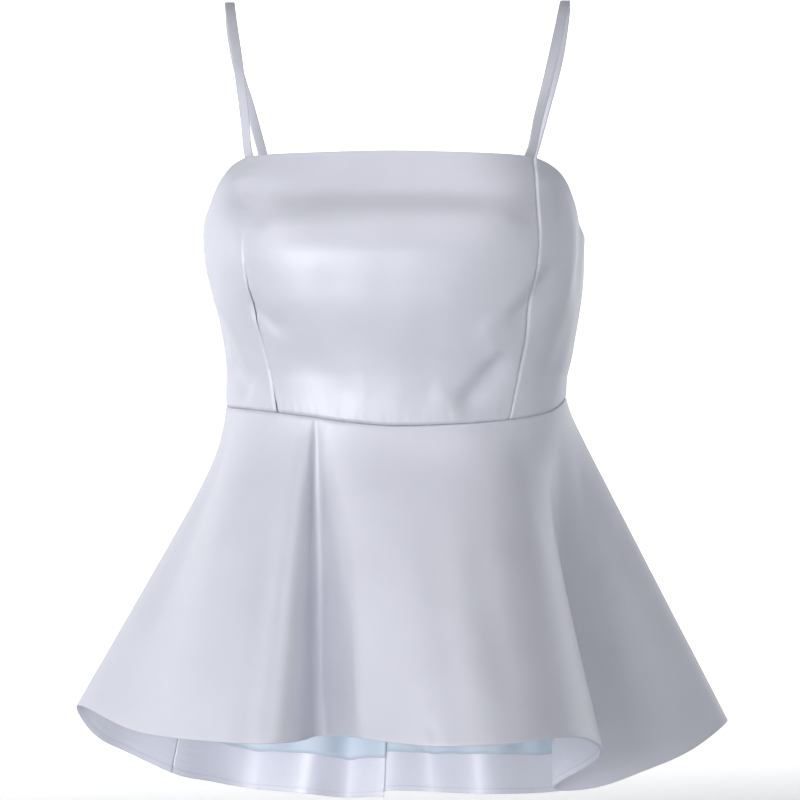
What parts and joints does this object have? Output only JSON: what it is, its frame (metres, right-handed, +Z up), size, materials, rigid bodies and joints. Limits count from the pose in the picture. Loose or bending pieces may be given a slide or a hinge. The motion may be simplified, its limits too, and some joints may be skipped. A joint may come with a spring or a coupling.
{
  "type": "peplum camisole top",
  "caption": "Strappy satin top with a fitted princess-seamed bodice and a flared, dipping peplum, hollow and filled out as if worn.",
  "frame": {"origin": "midway between the two places where the straps lie on a wearer's shoulders, level with the shoulders", "axes": "+Z up along the body, -Y towards the front of the garment, +X to the right as seen from the front"},
  "size_m": [0.5231, 0.4206, 0.6596],
  "materials": {
    "satin": "satin weave, smooth side out, soft sheen",
    "facing_satin": "satin weave, fused and turned up inside the hem",
    "lining_cloth": "plain smooth lining",
    "tape_cloth": "woven tape, matt",
    "zip_enamel": "enamelled to match the cloth"
  },
  "bodies": {
    "garment": {"bodice_front": "satin", "bodice_side_front_left": "satin", "bodice_side_front_right": "satin", "bodice_back_left": "satin", "bodice_back_right": "satin", "peplum_front": "satin", "peplum_back_left": "satin", "peplum_back_right": "satin", "hem_facing_front": "facing_satin", "hem_facing_back_left": "facing_satin", "hem_facing_back_right": "facing_satin", "lining_back_left": "lining_cloth", "lining_back_right": "lining_cloth", "strap_left": "satin", "strap_right": "satin", "zip_tape": "tape_cloth", "zip_slider": "zip_enamel"},
    "zip_pull": {"zip_pull": "zip_enamel"}
  },
  "joints": [
    {"name": "zip_pull_hinge", "type": "hinge", "parent": "garment", "child": "zip_pull", "pos_m": [0, 0.1005, -0.196], "axis": [1, 0, 0], "range_deg": [0, 170]}
  ]
}
